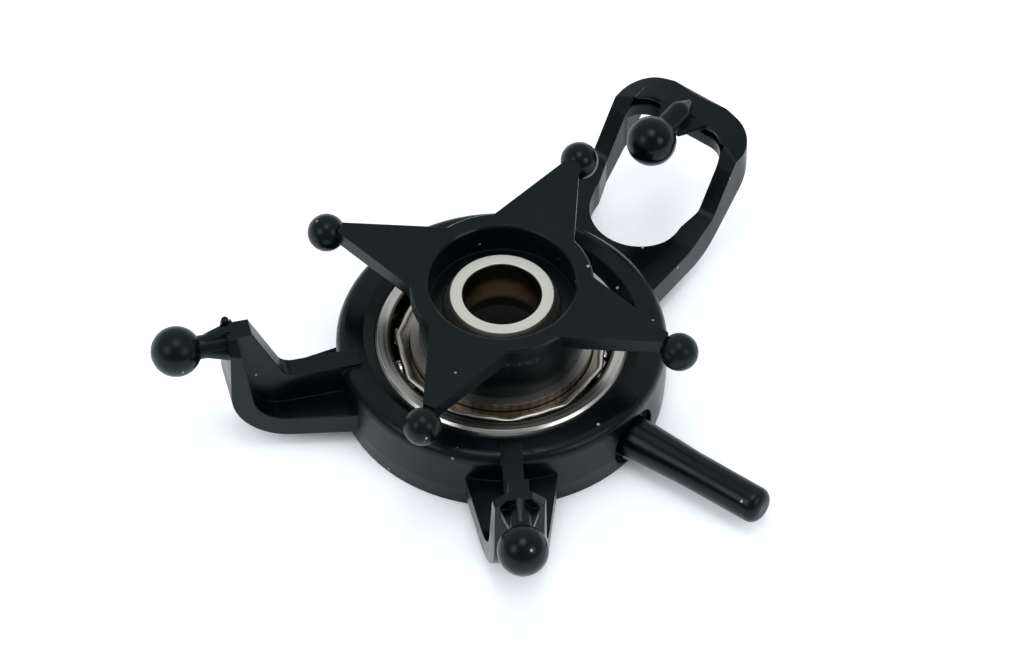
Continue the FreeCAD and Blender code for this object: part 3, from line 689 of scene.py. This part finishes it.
class SWASHPLATE_OT_hub_flash(bpy.types.Operator):
    """Leave a ragged sliver of flash, a sheet without thickness, under the hub's front edge"""

    bl_idname = "swashplate.hub_flash"
    bl_label = "Leave hub flash"
    bl_options = {"UNDO"}

    def execute(self, context):
        marks = context.scene.swashplate_marks
        dice = random.Random(FLASH_SEED)
        shape = bmesh.new()
        first = polar_place(marks.flash_radius, marks.flash_start, marks.flash_height)
        bmesh.ops.spin(shape, geom=[shape.verts.new(first)], axis=(0, 0, 1), cent=(0, 0, 0),
                       angle=marks.flash_span, steps=FLASH_STEPS)
        grown = bmesh.ops.extrude_edge_only(shape, edges=shape.edges[:])["geom"]
        for vert in [item for item in grown if isinstance(item, bmesh.types.BMVert)]:
            vert.co.z -= marks.flash_depth * (FLASH_SHORTEST + (1 - FLASH_SHORTEST) * dice.random())
            outward = Vector((vert.co.x, vert.co.y, 0)).normalized()
            vert.co += outward * marks.flash_depth * FLASH_CURL * dice.random()
        plastic = NODES["rotating_star"].data.materials[0]
        finish_piece(shape, "hub_flash", "star", plastic)
        return {"FINISHED"}


class SWASHPLATE_OT_plastic(bpy.types.Operator):
    """Give the fixed plate and the star their moulded black skin"""

    bl_idname = "swashplate.plastic"
    bl_label = "Mould plate and star"
    bl_options = {"UNDO"}

    def execute(self, context):
        paint(["outer_ring", "rotating_star"], make_plastic(context.scene.swashplate_plastic))
        return {"FINISHED"}


class SWASHPLATE_OT_steel(bpy.types.Operator):
    """Finish the bearing and the pivot ball in steel"""

    bl_idname = "swashplate.steel"
    bl_label = "Finish steel pieces"
    bl_options = {"UNDO"}

    def execute(self, context):
        steel = context.scene.swashplate_steel
        outer = make_steel("ground_outer_race", steel.race_color, roughness=0.26,
                           edge_radius=STEEL_EDGE_RADIUS, wall=OUTER_RACE_WALL_SHADE)
        inner = make_steel("ground_inner_race", steel.race_color, roughness=0.38,
                           edge_radius=STEEL_EDGE_RADIUS, wall=INNER_RACE_WALL_SHADE)
        pivot = make_steel("turned_pivot_steel", steel.pivot_color, roughness=0.38,
                           edge_radius=STEEL_EDGE_RADIUS, marks_depth=COARSE_MARKS, bored=True)
        # The cage's darker steel is painted shade.
        cage = make_steel("pressed_cage_steel_painted_shade", steel.shaded_cage_color, roughness=0.22,
                          edge_radius=CAGE_EDGE_RADIUS)
        ball = make_steel("polished_ball_steel", steel.ball_color, roughness=0.06)
        paint(["bearing_outer_race"], outer)
        paint(["bearing_inner_race"], inner)
        paint(["pivot_ball"], pivot)
        paint(["bearing_cage_upper", "bearing_cage_lower"], cage)
        paint(BEARING_BALLS, ball)
        return {"FINISHED"}


class SWASHPLATE_OT_studio(bpy.types.Operator):
    """Set the object on a pale table under soft light, with a camera"""

    bl_idname = "swashplate.studio"
    bl_label = "Build studio"
    bl_options = {"UNDO"}

    def execute(self, context):
        studio = context.scene.swashplate_studio
        self.add_floor(studio)
        facing = self.camera_facing(studio)
        for name, place, power in (
            ("top_lamp", TOP_LAMP, studio.top_power),
            ("left_lamp", LEFT_LAMP, studio.side_power),
            ("right_lamp", RIGHT_LAMP, studio.side_power),
        ):
            direction = (facing @ Vector(place)).normalized()
            self.add_lamp(name, direction * studio.lamp_distance, studio.lamp_width, power)
        self.light_room(context.scene, studio)
        self.add_camera(context.scene, studio)
        context.scene.view_settings.view_transform = "Standard"
        return {"FINISHED"}

    def add_floor(self, studio):
        """A table under the object's lowest face."""
        shape = bmesh.new()
        bmesh.ops.create_grid(shape, x_segments=1, y_segments=1, size=TABLE_HALF_WIDTH)
        bmesh.ops.translate(shape, verts=shape.verts, vec=(0, 0, FLOOR_HEIGHT))
        mesh = bpy.data.meshes.new("table")
        shape.to_mesh(mesh)
        shape.free()
        table = bpy.data.objects.new("table", mesh)
        bpy.context.scene.collection.objects.link(table)
        mesh.materials.append(self.floor_material(studio))

    def floor_material(self, studio):
        """Pale matt table that reads as white and keeps its shadows, with a painted shadow near the
        object.
        """
        material, tree, shader = new_material("pale_table")
        shader.inputs["Base Color"].default_value = (*studio.floor_color, 1)
        shader.inputs["Roughness"].default_value = 0.9
        shader.inputs["Specular IOR Level"].default_value = 0.1
        shader.inputs["Emission Color"].default_value = (*studio.floor_glow, 1)
        # Painted shadow: the glow fades where pieces hide the table's sky, so the table darkens under
        # and near the object, directly and in mirror images.
        hidden = add_node(tree, "ShaderNodeAmbientOcclusion", samples=8, Distance=studio.painted_shadow_reach)
        open_sky = ramp_between(tree, hidden.outputs["AO"], 0, 1, PAINTED_SHADOW_FULL, PAINTED_SHADOW_NONE)
        glow = calculate(tree, "MULTIPLY", open_sky, seen_or_mirrored(tree))
        tree.links.new(glow, shader.inputs["Emission Strength"])
        return material

    def add_lamp(self, name, place, width, power):
        """A soft disc of light at the place, turned to the object."""
        lamp = bpy.data.lights.new(name, "AREA")
        lamp.shape = "DISK"
        lamp.size = width
        lamp.energy = power
        holder = bpy.data.objects.new(name, lamp)
        holder.location = place
        holder.rotation_euler = (-place).to_track_quat("-Z", "Y").to_euler()
        bpy.context.scene.collection.objects.link(holder)

    def light_room(self, scene, studio):
        """A room brighter behind the object than in front, and white where the camera sees it."""
        world = bpy.data.worlds.new("studio_room")
        world.use_nodes = True
        tree = world.node_tree
        backdrop = tree.nodes["Background"]
        backdrop.inputs["Color"].default_value = (*ROOM_COLOR, 1)
        where = add_node(tree, "ShaderNodeTexCoord")
        towards_far = add_node(tree, "ShaderNodeVectorMath", operation="DOT_PRODUCT")
        towards_far.inputs[1].default_value = (-math.sin(studio.azimuth), math.cos(studio.azimuth), 0)
        tree.links.new(where.outputs["Generated"], towards_far.inputs[0])
        room = ramp_between(tree, towards_far.outputs["Value"], studio.room_in_front,
                            studio.room_behind, ROOM_FRONT_END, ROOM_BACK_START)
        path = add_node(tree, "ShaderNodeLightPath")
        mix = add_node(tree, "ShaderNodeMix", data_type="FLOAT")
        tree.links.new(path.outputs["Is Camera Ray"], mix.inputs[MIX_FACTOR])
        tree.links.new(room, mix.inputs[MIX_FLOAT_A])
        mix.inputs[MIX_FLOAT_B].default_value = 1.0
        tree.links.new(mix.outputs[MIX_FLOAT_RESULT], backdrop.inputs["Strength"])
        scene.world = world

    def camera_facing(self, studio):
        """The camera's turn; its own axes are right, up and towards the viewer."""
        facing = Euler((math.pi / 2 - studio.elevation, 0, studio.azimuth)).to_matrix().to_4x4()
        return facing @ Matrix.Rotation(studio.roll, 4, "Z")

    def add_camera(self, scene, studio):
        """A long lens that looks at the aim from the studio's distance."""
        facing = self.camera_facing(studio)
        back = facing @ Vector((0, 0, studio.distance))
        lens = bpy.data.cameras.new("studio_camera")
        lens.lens = studio.lens
        lens.sensor_width = SENSOR_WIDTH
        lens.clip_start = 0.01
        lens.clip_end = 10
        camera = bpy.data.objects.new("studio_camera", lens)
        camera.matrix_world = Matrix.Translation(Vector(studio.aim) + back) @ facing
        scene.collection.objects.link(camera)
        scene.camera = camera


class SWASHPLATE_PT_panel(bpy.types.Panel):
    """The settings, each group with the buttons that use it"""

    bl_idname = "SWASHPLATE_PT_panel"
    bl_label = "Swashplate"
    bl_space_type = "VIEW_3D"
    bl_region_type = "UI"
    bl_category = "Swashplate"

    def draw(self, context):
        layout = self.layout
        groups = (
            (context.scene.swashplate_plastic, (SWASHPLATE_OT_plastic,)),
            (context.scene.swashplate_steel, (SWASHPLATE_OT_steel,)),
            (context.scene.swashplate_rim, (SWASHPLATE_OT_cage_rim,)),
            (context.scene.swashplate_marks, (SWASHPLATE_OT_arm_pip, SWASHPLATE_OT_hub_flash)),
            (context.scene.swashplate_studio, (SWASHPLATE_OT_studio,)),
        )
        for settings, operators in groups:
            box = layout.box()
            for name in settings.__annotations__:
                box.prop(settings, name)
            for operator in operators:
                box.operator(operator.bl_idname)


CLASSES = (
    PlasticSettings,
    SteelSettings,
    RimSettings,
    MarkSettings,
    StudioSettings,
    SWASHPLATE_OT_plastic,
    SWASHPLATE_OT_steel,
    SWASHPLATE_OT_cage_rim,
    SWASHPLATE_OT_arm_pip,
    SWASHPLATE_OT_hub_flash,
    SWASHPLATE_OT_studio,
    SWASHPLATE_PT_panel,
)


SETTINGS = {
    "swashplate_plastic": PlasticSettings,
    "swashplate_steel": SteelSettings,
    "swashplate_rim": RimSettings,
    "swashplate_marks": MarkSettings,
    "swashplate_studio": StudioSettings,
}


def register():
    for item in CLASSES:
        bpy.utils.register_class(item)
    for name, group in SETTINGS.items():
        setattr(bpy.types.Scene, name, PointerProperty(type=group))


def unregister():
    for name in SETTINGS:
        delattr(bpy.types.Scene, name)
    for item in reversed(CLASSES):
        bpy.utils.unregister_class(item)


def main():
    register()
    bpy.ops.swashplate.plastic()
    bpy.ops.swashplate.steel()
    bpy.ops.swashplate.cage_rim()
    bpy.ops.swashplate.arm_pip()
    bpy.ops.swashplate.hub_flash()
    bpy.ops.swashplate.studio()


if __name__ == "__main__":
    main()
